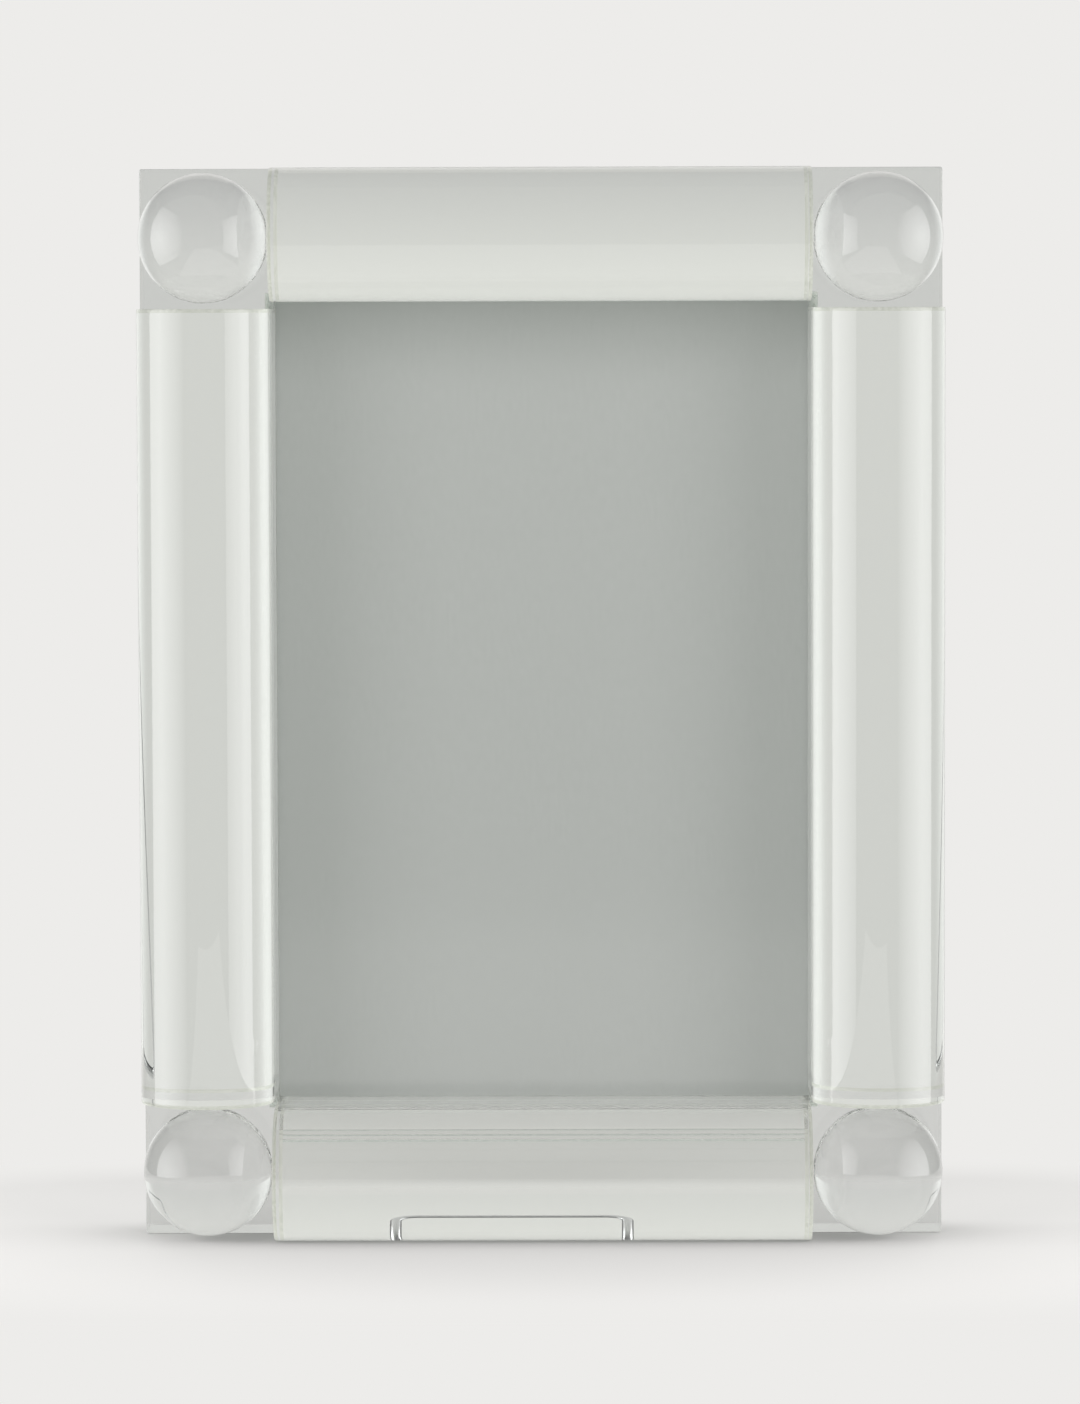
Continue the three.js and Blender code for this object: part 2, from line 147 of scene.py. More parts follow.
# Hinge plate, with its knuckles and stops
PLATE_THICKNESS = 1.0 * MM
PLATE_HEIGHT = 24 * MM
PLATE_CORNER = 3 * MM
PLATE_EDGE = 0.2 * MM
STRIP_EDGE = 0.12 * MM
ROOT_SHARE = 0.4  # how deep in the plate the knuckles and stops start
KNUCKLE_WALL = 0.9 * MM
KNUCKLE_GAP = 0.3 * MM
KNUCKLE_LENGTH = 7 * MM
KNUCKLE_SWEEP = math.radians(318)
STOP_DROP = 9 * MM
STOP_LENGTH = 3 * MM
STOP_WALL = 0.9 * MM
STOP_BEND = 0.8 * MM
STOP_CORNER = 0.2 * MM
STOP_SIDE_GAP = 0.5 * MM
STOP_CONTACT_GAP = 0.3 * MM

# Wire leg
WIRE_RADIUS = 1.2 * MM
WIRE_END_REACH = 1 * MM  # how far the wire's ends stand out of the knuckles
WIRE_END_DOME = 0.5 * MM
TOP_BEND = 4 * MM
FOOT_BEND = 5 * MM
OPEN_ANGLE = math.radians(28)

# Fineness
CORNER_STEPS = 4
EDGE_STEPS = 3
BAR_ARC_STEPS = 144
BALL_SIDES = 128
BALL_RINGS = 72
DISC_SIDES = 64
ROUND_SIDES = 48
DOME_STEPS = 8
KNUCKLE_STEPS = 40
WIRE_SIDES = 24
WIRE_BEND_STEPS = 20
WIRE_STRAIGHT_STEPS = 12
WIRE_DOME_STEPS = 4
SHARP_BEND = math.radians(35)
WELD = 1e-7
LEVEL_TOLERANCE = 1e-9
WALL_TOLERANCE = 1e-6

# Faces of a crystal piece: the material index of each kind of stretch
POLISHED, BONDED, GROUND, PAINTED_SHADOW_FACE, RIM = 0, 1, 2, 3, 4
FACE_MATERIAL = {"flat": POLISHED, "round": POLISHED, "bonded": BONDED, "ground": GROUND, "painted_shadow_lines": PAINTED_SHADOW_FACE}

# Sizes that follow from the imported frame
bar_low, bar_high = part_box("bar_left")
pane_low, pane_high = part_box("cover_glass")
bar_radius = (bar_high.x - bar_low.x) / 2
bar_rise = -bar_low.y - bar_radius
glass_back = bar_high.y
ledge_depth = pane_low.y - SEAT_GAP
ledge_width = pane_high.x + POCKET_CLEARANCE + bar_high.x
fold = next(joint for joint in frame["joints"] if joint["name"] == "easel_fold")
hinge = Vector(fold["pos_m"])
plate_low, plate_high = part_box("hinge_plate")
plate_root = plate_low.y + ROOT_SHARE * PLATE_THICKNESS
leg_low, leg_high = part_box("easel_leg")
arm_x = (leg_high.x - leg_low.x) / 2 - WIRE_RADIUS
knuckle_x = arm_x - TOP_BEND - KNUCKLE_LENGTH / 2


# Materials

def new_material(name):
    material = bpy.data.materials.new(name)
    material.use_nodes = True
    nodes = material.node_tree.nodes
    return material, nodes, material.node_tree.links, nodes["Principled BSDF"]


def add_noise(nodes, links, scale, detail=4.0, stretch=(1, 1, 1)):
    """Noise that sits in the object's own space, so that it moves with the piece."""
    place = nodes.new("ShaderNodeTexCoord")
    mapping = nodes.new("ShaderNodeMapping")
    mapping.inputs["Scale"].default_value = stretch
    noise = nodes.new("ShaderNodeTexNoise")
    noise.inputs["Scale"].default_value = scale
    noise.inputs["Detail"].default_value = detail
    links.new(place.outputs["Object"], mapping.inputs["Vector"])
    links.new(mapping.outputs["Vector"], noise.inputs["Vector"])
    return noise.outputs["Fac"]


def add_ramp(nodes, links, value, colours, low=0.3, high=0.7):
    ramp = nodes.new("ShaderNodeValToRGB")
    for element, position, colour in zip(ramp.color_ramp.elements, (low, high), colours):
        element.position = position
        element.color = (*colour, 1)
    links.new(value, ramp.inputs["Fac"])
    return ramp.outputs["Color"]


def add_range(nodes, links, value, low, high):
    spread = nodes.new("ShaderNodeMapRange")
    spread.inputs["To Min"].default_value = low
    spread.inputs["To Max"].default_value = high
    links.new(value, spread.inputs["Value"])
    return spread.outputs["Result"]


def add_slope(nodes, links, value, start, end, highest=1):
    slope = nodes.new("ShaderNodeMapRange")
    slope.interpolation_type = "SMOOTHSTEP"
    slope.inputs["From Min"].default_value = start
    slope.inputs["From Max"].default_value = end
    slope.inputs["To Max"].default_value = highest
    links.new(value, slope.inputs["Value"])
    return slope.outputs["Result"]


def add_bump(nodes, links, shader, value, strength, distance):
    bump = nodes.new("ShaderNodeBump")
    bump.inputs["Strength"].default_value = strength
    bump.inputs["Distance"].default_value = distance
    links.new(value, bump.inputs["Height"])
    links.new(bump.outputs["Normal"], shader.inputs["Normal"])


def let_light_through(nodes, links, shader, tint):
    """The glass casts a pale shadow instead of a black one."""
    path = nodes.new("ShaderNodeLightPath")
    clear = nodes.new("ShaderNodeBsdfTransparent")
    clear.inputs["Color"].default_value = (*tint, 1)
    choice = nodes.new("ShaderNodeMixShader")
    links.new(path.outputs["Is Shadow Ray"], choice.inputs["Fac"])
    links.new(shader.outputs["BSDF"], choice.inputs[1])
    links.new(clear.outputs["BSDF"], choice.inputs[2])
    links.new(choice.outputs["Shader"], nodes["Material Output"].inputs["Surface"])


def glass_material(name, colour, roughness, ripple, shadow):
    """Clear polished glass. ripple is the height of its faint polishing waves."""
    material, nodes, links, shader = new_material(name)
    shader.inputs["Base Color"].default_value = (*colour, 1)
    shader.inputs["Transmission Weight"].default_value = 1
    shader.inputs["IOR"].default_value = GLASS_IOR
    shader.inputs["Roughness"].default_value = roughness
    waves = add_noise(nodes, links, 70, detail=1.0)
    add_bump(nodes, links, shader, waves, 0.3, ripple)
    let_light_through(nodes, links, shader, shadow)
    return material


def rough_glass_material(name, weight, scale, colours, roughness, bump, shadow):
    """Glass with a fine grain. bump is the grain's strength and height."""
    material, nodes, links, shader = new_material(name)
    shader.inputs["Transmission Weight"].default_value = weight
    shader.inputs["IOR"].default_value = GLASS_IOR
    grain = add_noise(nodes, links, scale)
    links.new(add_ramp(nodes, links, grain, colours), shader.inputs["Base Color"])
    links.new(add_range(nodes, links, grain, *roughness), shader.inputs["Roughness"])
    add_bump(nodes, links, shader, grain, *bump)
    let_light_through(nodes, links, shader, shadow)
    return material


def ground_glass_material():
    """Faces left unpolished in the pocket and on the pane's edges."""
    colours = ((0.78, 0.83, 0.76), (0.95, 0.97, 0.92))
    return rough_glass_material("ground_glass", 0.4, 2400, colours, (0.15, 0.45), (0.5, 0.08 * MM),
                                (0.75, 0.77, 0.76))


def rough_line_material(name, colours):
    """Painted shadow lines on the back of the bottom bar, which stand in for its shadow on the table behind
    it, and the rims of the bars' ends, through which the glass looks olive.
    """
    return rough_glass_material(name, 1, 1500, colours, (0.05, 0.25), (0.4, 0.04 * MM),
                                (0.75, 0.77, 0.74))


def bonded_material():
    """Faces under clear adhesive, which light passes as if the glass went on."""
    material, nodes, links, shader = new_material("bonded_face")
    nodes.remove(shader)
    clear = nodes.new("ShaderNodeBsdfTransparent")
    links.new(clear.outputs["BSDF"], nodes["Material Output"].inputs["Surface"])
    return material


def card_front_material():
    """Grey print on satin card, with the paper's faint fibre."""
    material, nodes, links, shader = new_material("card_print")
    fibre = add_noise(nodes, links, 1400, stretch=(1, 1, 0.35))
    tone = add_ramp(nodes, links, fibre, ((0.455, 0.465, 0.450), (0.485, 0.495, 0.480)), 0.25, 0.75)
    links.new(tone, shader.inputs["Base Color"])
    links.new(add_range(nodes, links, fibre, 0.42, 0.55), shader.inputs["Roughness"])
    add_bump(nodes, links, shader, fibre, 0.25, 0.03 * MM)
    return material


def card_core_material():
    """The card's pale back and cut edges."""
    material, nodes, links, shader = new_material("card_core")
    fibre = add_noise(nodes, links, 900)
    tone = add_ramp(nodes, links, fibre, ((0.70, 0.69, 0.66), (0.78, 0.77, 0.74)))
    links.new(tone, shader.inputs["Base Color"])
    shader.inputs["Roughness"].default_value = 0.85
    return material


def flock_material():
    """Short velvet flock over board."""
    material, nodes, links, shader = new_material("flocked_cloth")
    pile = add_noise(nodes, links, 2600, detail=5.0)
    patches = add_noise(nodes, links, 45, detail=3.0)
    mix = nodes.new("ShaderNodeMix")
    mix.data_type = "RGBA"
    mix.blend_type = "MULTIPLY"
    mix.inputs["Factor"].default_value = 1
    links.new(add_ramp(nodes, links, pile, ((0.20, 0.20, 0.21), (0.33, 0.33, 0.34))), mix.inputs["A"])
    links.new(add_ramp(nodes, links, patches, ((0.86, 0.86, 0.86), (1, 1, 1))), mix.inputs["B"])
    links.new(mix.outputs["Result"], shader.inputs["Base Color"])
    shader.inputs["Roughness"].default_value = 0.95
    shader.inputs["Sheen Weight"].default_value = 0.35
    shader.inputs["Sheen Roughness"].default_value = 0.4
    add_bump(nodes, links, shader, pile, 0.8, 0.15 * MM)
    return material


def metal_material(name, colour, smooth, rough, grain_scale, stretch, bump):
    """Plated metal with a fine grain. Its roughness lies between smooth and rough."""
    material, nodes, links, shader = new_material(name)
    shader.inputs["Metallic"].default_value = 1
    grain = add_noise(nodes, links, grain_scale, stretch=stretch)
    darker = tuple(0.92 * value for value in colour)
    links.new(add_ramp(nodes, links, grain, (darker, colour)), shader.inputs["Base Color"])
    links.new(add_range(nodes, links, grain, smooth, rough), shader.inputs["Roughness"])
    add_bump(nodes, links, shader, grain, bump, 0.02 * MM)
    return material


crystal = glass_material("bar_crystal", (0.785, 0.80, 0.775), 0, 0.003 * MM, (0.80, 0.81, 0.80))
corner_crystal = glass_material("corner_crystal", (0.715, 0.725, 0.715), 0, 0.004 * MM, (0.80, 0.81, 0.80))
pane_glass = glass_material("pane_glass", (0.975, 0.985, 0.975), 0.10, 0.004 * MM, (0.97, 0.975, 0.97))
ground_glass = ground_glass_material()
# Painted shadow: dark green lines on the back of the bottom bar that stand in for its shadow on the table
# behind it
painted_shadow_glass = rough_line_material("painted_shadow_glass", ((0.42, 0.49, 0.44), (0.60, 0.67, 0.61)))
rim_glass = rough_line_material("rim_glass", ((0.55, 0.575, 0.49), (0.76, 0.78, 0.70)))
bonded_face = bonded_material()
card_print = card_front_material()
card_core = card_core_material()
flock = flock_material()
steel = metal_material("nickel_steel", (0.60, 0.61, 0.63), 0.22, 0.38, 900, (0.06, 1, 1), 0.3)
chrome = metal_material("chrome_wire", (0.86, 0.87, 0.88), 0.24, 0.34, 500, (1, 1, 1), 0.1)
bar_faces = [crystal, bonded_face, ground_glass, painted_shadow_glass, rim_glass]
corner_faces = [corner_crystal, bonded_face, ground_glass]


# Outlines

def corner_arc(before, corner, after, radius):
    """Points that round a corner of an outline."""
    into = (before - corner).normalized()
    out = (after - corner).normalized()
    half = into.angle(out) / 2
    reach = radius / math.tan(half)
    first = corner + into * reach
    last = corner + out * reach
    centre = corner + (into + out).normalized() * (radius / math.sin(half))
    arm = first - centre
    turn = arm.angle_signed(last - centre)
    points = []
    for step in range(CORNER_STEPS + 1):
        angle = -turn * step / CORNER_STEPS
        points.append(centre + Vector((
            arm.x * math.cos(angle) - arm.y * math.sin(angle),
            arm.x * math.sin(angle) + arm.y * math.cos(angle),
        )))
    return points


def make_outline(corners):
    """An outline from (x, y, kind of the stretch that follows, corner radius)."""
    outline = []
    for index, (x, y, kind, radius) in enumerate(corners):
        corner = Vector((x, y))
        if radius == 0:
            outline.append((corner, kind))
            continue
        before = Vector(corners[index - 1][:2])
        after = Vector(corners[(index + 1) % len(corners)][:2])
        points = corner_arc(before, corner, after, radius)
        outline += [(point, "round") for point in points[:-1]]
        outline.append((points[-1], kind))
    return outline


def area_of(points):
    total = 0.0
    for index, point in enumerate(points):
        before = points[index - 1]
        total += before.x * point.y - point.x * before.y
    return total / 2


def inset(points, distance, bonded=()):
    """The points of an outline moved inwards, square to its stretches. Bonded points stay where they are."""
    sign = 1 if area_of(points) > 0 else -1
    moved = []
    for index, point in enumerate(points):
        if index in bonded:
            moved.append(point)
            continue
        first = (point - points[index - 1]).normalized()
        second = (points[(index + 1) % len(points)] - point).normalized()
        one = Vector((-first.y, first.x)) * sign
        two = Vector((-second.y, second.x)) * sign
        moved.append(point + (one + two) * (distance / (1 + one.dot(two))))
    return moved


def circle(radius, sides):
    turns = [2 * math.pi * side / sides for side in range(sides)]
    return [Vector((radius * math.cos(turn), radius * math.sin(turn))) for turn in turns]


# Solids

def end_profile(edge, rise):
    """Insets and distances from the end of a rounded edge, from the end inwards."""
    angles = [QUARTER_TURN * step / EDGE_STEPS for step in range(EDGE_STEPS + 1)]
    return [(edge * (1 - math.sin(angle)), rise * (1 - math.cos(angle))) for angle in angles]


def crease_ring(mesh, ring):
    """Makes the edges along a ring of vertices sharp."""
    for index, vertex in enumerate(ring):
        edge = mesh.edges.get((vertex, ring[(index + 1) % len(ring)]))
        if edge is not None:
            edge.smooth = False


def join_rings(mesh, rings, kinds, round_pairs, closed=False, edge_material=POLISHED):
    """Faces between rings of vertices. round_pairs says which pairs belong to a rounded edge."""
    pairs = list(zip(rings, rings[1:] + rings[:1] if closed else rings[1:]))
    for (one, two), is_round in zip(pairs, round_pairs):
        for index, kind in enumerate(kinds):
            after = (index + 1) % len(kinds)
            corners = []
            for vertex in (one[index], one[after], two[after], two[index]):
                if vertex not in corners:
                    corners.append(vertex)
            if len(corners) < 3:
                continue
            face = mesh.faces.new(corners)
            face.smooth = is_round or kind == "round"
            face.material_index = edge_material if is_round else FACE_MATERIAL[kind]
    for number in range(1, len(pairs)):
        if round_pairs[number - 1] != round_pairs[number]:
            crease_ring(mesh, rings[number])


def add_ring(mesh, points, place, level):
    return [mesh.verts.new(place(point.x, point.y, level)) for point in points]


def add_round_ring(mesh, radius, centre, y, sides):
    """A ring about an axis along Y. centre is the axis's X and Z."""
    return [mesh.verts.new((centre[0] + point.x, y, centre[1] + point.y)) for point in circle(radius, sides)]


def flat_cap(mesh, ring, _outline):
    mesh.faces.new(ring)


def extrude(mesh, outline, place, start, end, edge, rise=None, bonded=(), cap=flat_cap,
            edge_material=POLISHED):
    """A solid with a constant outline and small rounded edges at both ends, except at bonded points."""
    points = [point for point, _ in outline]
    kinds = [kind for _, kind in outline]
    steps = end_profile(edge, edge if rise is None else rise)
    rings = [add_ring(mesh, inset(points, way, bonded), place, start + level) for way, level in steps]
    rings += [add_ring(mesh, inset(points, way, bonded), place, end - level)
              for way, level in reversed(steps)]
    round_pairs = [True] * EDGE_STEPS + [False] + [True] * EDGE_STEPS
    join_rings(mesh, rings, kinds, round_pairs, edge_material=edge_material)
    cap(mesh, rings[0], outline)
    cap(mesh, rings[-1], outline)


def dome(radius, base, top):
    """The profile of a domed head, from its rim to its middle."""
    profile = []
    for step in range(DOME_STEPS):
        angle = QUARTER_TURN * step / DOME_STEPS
        profile.append((radius * math.cos(angle), base + (top - base) * math.sin(angle), True))
    return profile + [(0, top, True)]


def bend_angle(profile, number):
    before, here, after = (Vector(profile[number + way][:2]) for way in (-1, 0, 1))
    return (here - before).angle(after - here)


def lathe(mesh, profile, centre):
    """A round solid about an axis along Y, from (radius, y, starts a smooth stretch)."""
    rings = []
    for radius, y, _ in profile:
        if radius == 0:
            rings.append([mesh.verts.new((centre[0], y, centre[1]))] * ROUND_SIDES)
        else:
            rings.append(add_round_ring(mesh, radius, centre, y, ROUND_SIDES))
    join_rings(mesh, rings, ["flat"] * ROUND_SIDES, [smooth for _, _, smooth in profile[:-1]])
    for number in range(1, len(rings) - 1):
        if profile[number][0] > 0 and bend_angle(profile, number) > SHARP_BEND:
            crease_ring(mesh, rings[number])


def finish_piece(name, mesh, materials, slot, body, *nodes):
    """Turns a bmesh into a piece that rides on a body and stands for CAD nodes."""
    bmesh.ops.remove_doubles(mesh, verts=mesh.verts, dist=WELD)
    bmesh.ops.recalc_face_normals(mesh, faces=mesh.faces)
    data = bpy.data.meshes.new(name)
    mesh.to_mesh(data)
    mesh.free()
    for material in materials:
        data.materials.append(material)
    piece = bpy.data.objects.new(name, data)
    scene.collection.objects.link(piece)
    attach(piece, body)
    if nodes:
        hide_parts(*nodes)
    return piece


# Crystal bars

def bar_outline(inner, painted_shadow_lines=False):
    """The bar's section. inner is the side that faces the window, 1 or -1."""
    arc = []
    for step in range(BAR_ARC_STEPS + 1):
        angle = math.pi * step / BAR_ARC_STEPS
        kind = "round" if step < BAR_ARC_STEPS else "flat"
        arc.append((-bar_radius * math.cos(angle), -bar_rise - bar_radius * math.sin(angle), kind, 0))
    corners = [(-bar_radius, glass_back, "flat", GLASS_CORNER), (-bar_radius, 0, "flat", 0)] + arc + [
        (bar_radius, 0, "flat", 0),
        (bar_radius, ledge_depth, "flat", 0),
        (bar_radius - ledge_width, ledge_depth, "ground", 0),
        (bar_radius - ledge_width, glass_back, "flat", 0),
    ]
    # Grooves in a dark painted-shadow glass, where the bar's shadow on the table behind it shows through
    if painted_shadow_lines:
        for height in PAINTED_SHADOW_LINES:
            top = height - bar_radius + PAINTED_SHADOW_LINE_WIDTH / 2
            corners += [
                (top, glass_back, "painted_shadow_lines", 0),
                (top - PAINTED_SHADOW_LINE_WIDTH / 2, glass_back - PAINTED_SHADOW_LINE_DEPTH, "painted_shadow_lines", 0),
                (top - PAINTED_SHADOW_LINE_WIDTH, glass_back, "flat", 0),
            ]
    return make_outline([(inner * x, y, kind, radius) for x, y, kind, radius in corners])


def bar_cap(mesh, ring, outline):
    """The part of the end that a block covers is bonded, and the part in front of it is polished."""
    points = [point for point, _ in outline]
    first, second = [index for index, point in enumerate(points) if abs(point.y) < LEVEL_TOLERANCE]
    halves = (ring[first:second + 1], ring[second:] + ring[:first + 1])
    ahead = points[(first + second) // 2].y < 0
    for half, in_front in zip(halves, (ahead, not ahead)):
        face = mesh.faces.new(half)
        face.material_index = POLISHED if in_front else BONDED


def behind_front(outline):
    """The points of a bar's outline that a block covers."""
    return {index for index, (point, _) in enumerate(outline) if point.y > -LEVEL_TOLERANCE}


def on_wall(face, wall_x):
    return all(abs(vertex.co.x - wall_x) < WALL_TOLERANCE for vertex in face.verts)


def cut_latch_slots(mesh, latch_nodes, inner):
    """Slots in the pocket's side wall that the tips of the latches turn into."""
    wall_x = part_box("bar_left")[1].x if inner > 0 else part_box("bar_right")[0].x
    wall_x -= inner * ledge_width
    for node in latch_nodes:
        low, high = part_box(node)
        tip = high.x if inner < 0 else -low.x
        middle = (low.z + high.z) / 2
        reach = tip - abs((low.x + high.x) / 2)
        bite = tip - abs(wall_x)
        half = SLOT_CLEARANCE + math.sqrt(reach ** 2 - (reach - bite) ** 2)
        bottom, top = middle - half, middle + half
        front, back = low.y - SLOT_CLEARANCE, high.y + SLOT_CLEARANCE
        for level in (bottom, top):
            bmesh.ops.bisect_plane(mesh, geom=mesh.verts[:] + mesh.edges[:] + mesh.faces[:],
                                   plane_co=(0, 0, level), plane_no=(0, 0, 1))
        for depth in (front, back):
            wall = [face for face in mesh.faces if on_wall(face, wall_x)]
            edges = list(dict.fromkeys(edge for face in wall for edge in face.edges))
            verts = list(dict.fromkeys(vertex for face in wall for vertex in face.verts))
            bmesh.ops.bisect_plane(mesh, geom=verts + edges + wall,
                                   plane_co=(0, depth, 0), plane_no=(0, 1, 0))
        cell = [face for face in mesh.faces if on_wall(face, wall_x)
                and bottom < face.calc_center_median().z < top
                and front < face.calc_center_median().y < back]
        grown = bmesh.ops.extrude_face_region(mesh, geom=cell)["geom"]
        moved = [part for part in grown if isinstance(part, bmesh.types.BMVert)]
        bmesh.ops.translate(mesh, verts=moved, vec=(-inner * SLOT_DEPTH, 0, 0))
        bmesh.ops.delete(mesh, geom=[face for face in cell if face.is_valid], context="FACES_ONLY")


def extrude_bar(outline, place, start, end):
    """A bar whose ends are half a bond line longer, because clear adhesive fills the bond lines."""
    mesh = bmesh.new()
    extrude(mesh, outline, place, start - BOND_LINE / 2, end + BOND_LINE / 2, BAR_END_INSET, BAR_END_RISE,
            behind_front(outline), bar_cap, RIM)
    return mesh


def build_bars():
    for name, inner in (("left", 1), ("right", -1)):
        low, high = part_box(f"bar_{name}")
        centre = (low.x + high.x) / 2
        mesh = extrude_bar(bar_outline(inner), lambda u, v, w: (centre + u, v, w), low.z, high.z)
        cut_latch_slots(mesh, [f"turn_latch_{end}_{name}" for end in ("lower", "upper")], inner)
        finish_piece(f"crystal_bar_{name}", mesh, bar_faces, "crystal", "frame", f"bar_{name}")
    for name, inner in (("bottom", 1), ("top", -1)):
        low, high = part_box(f"bar_{name}")
        centre = (low.z + high.z) / 2
        outline = bar_outline(inner, name == "bottom")
        mesh = extrude_bar(outline, lambda u, v, w: (w, v, centre + u), low.x, high.x)
        finish_piece(f"crystal_bar_{name}", mesh, bar_faces, "crystal", "frame", f"bar_{name}")


# Corner blocks and balls

def block_outlines(low, high, side, end):
    """The block's outline in X and Z in front of the ledge and behind it, with as many points in each."""
    outer_x, inner_x = (high.x, low.x) if side > 0 else (low.x, high.x)
    outer_z, inner_z = (high.z, low.z) if end > 0 else (low.z, high.z)
    inner_x -= side * BOND_LINE / 2
    inner_z -= end * BOND_LINE / 2
    pocket_x = side * (pane_high.x + POCKET_CLEARANCE)
    pocket_z = pane_high.z + POCKET_CLEARANCE if end > 0 else pane_low.z - POCKET_CLEARANCE
    bar_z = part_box("bar_top")[0].z if end > 0 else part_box("bar_bottom")[1].z
    shared = [
        (outer_x, outer_z, "flat", GLASS_CORNER),
        (inner_x, outer_z, "bonded", 0),
        (inner_x, pocket_z, "bonded", 0),
    ]
    front = make_outline(shared + [
        (inner_x, bar_z, "flat", 0),
        (inner_x, inner_z, "bonded", 0),
        (pocket_x, inner_z, "bonded", 0),
        (outer_x, inner_z, "flat", 0),
    ])
    back = make_outline(shared[:2] + [
        (inner_x, pocket_z, "ground", 0),
        (pocket_x, pocket_z, "ground", 0),
        (pocket_x, pocket_z, "ground", 0),
        (pocket_x, inner_z, "bonded", 0),
        (outer_x, inner_z, "flat", 0),
    ])
    return front, back


def bonded_points(outline):
    """The points where a bonded stretch starts or ends."""
    marked = set()
    for index, (_, kind) in enumerate(outline):
        if kind == "bonded":
            marked |= {index, (index + 1) % len(outline)}
    return marked


def disc_cap(mesh, ring, radius, centre, y):
    """The block's face, with the disc that the ball is bonded to."""
    disc = add_round_ring(mesh, radius, centre, y, DISC_SIDES)
    mesh.faces.new(disc).material_index = BONDED
    directions = [math.atan2(vertex.co.z - centre[1], vertex.co.x - centre[0]) for vertex in ring]
    nearest = [round(direction % (2 * math.pi) / (2 * math.pi) * DISC_SIDES) % DISC_SIDES
               for direction in directions]
    turning = sum(math.remainder(direction - directions[index - 1], 2 * math.pi)
                  for index, direction in enumerate(directions))
    step = 1 if turning > 0 else -1
    for index in range(len(ring)):
        after = (index + 1) % len(ring)
        place = nearest[index]
        between = [disc[place]]
        while place != nearest[after]:
            place = (place + step) % DISC_SIDES
            between.append(disc[place])
        mesh.faces.new([ring[index], ring[after]] + between[::-1])


def build_block(place_name, side, end):
    low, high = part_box(f"corner_block_{place_name}")
    ball_low, ball_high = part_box(f"corner_ball_{place_name}")
    front, back = block_outlines(low, high, side, end)
    front_points = [point for point, _ in front]
    back_points = [point for point, _ in back]
    bonded = bonded_points(front)
    mesh = bmesh.new()

    def place(x, z, y):
        return (x, y, z)

    rings = [add_ring(mesh, inset(front_points, way, bonded), place, low.y + level)
             for way, level in end_profile(GLASS_EDGE, GLASS_EDGE)]
    rings.append(add_ring(mesh, front_points, place, ledge_depth))
    join_rings(mesh, rings, [kind for _, kind in front], [True] * EDGE_STEPS + [False])
    back_ring = add_ring(mesh, back_points, place, ledge_depth)
    join_rings(mesh, [rings[-1], back_ring], ["ground"] * len(front), [False])
    end_ring = add_ring(mesh, back_points, place, high.y)
    join_rings(mesh, [back_ring, end_ring], [kind for _, kind in back], [False])
    mesh.faces.new(end_ring)
    ball_radius = (ball_high.x - ball_low.x) / 2
    disc_radius = math.sqrt(ball_radius ** 2 - (low.y - ball_low.y - ball_radius) ** 2)
    centre = ((ball_low.x + ball_high.x) / 2, (ball_low.z + ball_high.z) / 2)
    disc_cap(mesh, rings[0], disc_radius, centre, low.y)
    finish_piece(f"crystal_block_{place_name}", mesh, corner_faces, "crystal", "frame",
                 f"corner_block_{place_name}")


def build_ball(place_name):
    low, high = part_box(f"corner_ball_{place_name}")
    radius = (high.x - low.x) / 2
    centre_y = low.y + radius
    centre = ((low.x + high.x) / 2, (low.z + high.z) / 2)
    flat = math.acos((high.y + BOND_LINE - centre_y) / radius)
    mesh = bmesh.new()
    rings = []
    for number in range(BALL_RINGS):
        angle = flat + (math.pi - flat) * number / BALL_RINGS
        y = centre_y + radius * math.cos(angle)
        rings.append(add_round_ring(mesh, radius * math.sin(angle), centre, y, BALL_SIDES))
    rings.append([mesh.verts.new((centre[0], low.y, centre[1]))] * BALL_SIDES)
    join_rings(mesh, rings, ["round"] * BALL_SIDES, [False] * BALL_RINGS)
    mesh.faces.new(rings[0]).material_index = BONDED
    finish_piece(f"crystal_ball_{place_name}", mesh, corner_faces, "crystal", "frame",
                 f"corner_ball_{place_name}")


def build_corners():
    for side_name, side in (("left", -1), ("right", 1)):
        for end_name, end in (("bottom", -1), ("top", 1)):
            build_block(f"{end_name}_{side_name}", side, end)
            build_ball(f"{end_name}_{side_name}")


# What lies in the pocket

def slab(name, node, materials, slot, edge, corner, edge_index=0, back_index=0):
    """A flat sheet that stands for a CAD node, with its front, back and edges finished apart."""
    low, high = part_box(node)
    outline = make_outline([
        (low.x, low.z, "flat", corner),
        (high.x, low.z, "flat", corner),
        (high.x, high.z, "flat", corner),
        (low.x, high.z, "flat", corner),
    ])
    mesh = bmesh.new()
    extrude(mesh, outline, lambda u, v, w: (u, w, v), low.y, high.y, edge)
    for face in mesh.faces:
        if len(face.verts) <= 4:
            face.material_index = edge_index
        elif face.calc_center_median().y > (low.y + high.y) / 2:
            face.material_index = back_index
    finish_piece(name, mesh, materials, slot, "frame", node)


def build_pocket_stack():
    slab("window_pane", "cover_glass", [pane_glass, ground_glass], "cover_glass",
         edge=0.3 * MM, corner=0.6 * MM, edge_index=1)
    slab("insert_card", "photo_card", [card_print, card_core], "insert_card",
         edge=0.08 * MM, corner=0.4 * MM, edge_index=1, back_index=1)
    slab("cloth_board", "backing_board", [flock], "board_cloth", edge=0.7 * MM, corner=1.2 * MM)


# Turn latches and their screws

def round_ended(straight, radius):
    """An outline with two half-round ends. straight is half the distance between their centres."""
    turns = [math.pi * (step / ROUND_SIDES - 0.5) for step in range(ROUND_SIDES + 1)]
    half = [Vector((straight + radius * math.cos(turn), radius * math.sin(turn))) for turn in turns]
    return half + [-point for point in half]


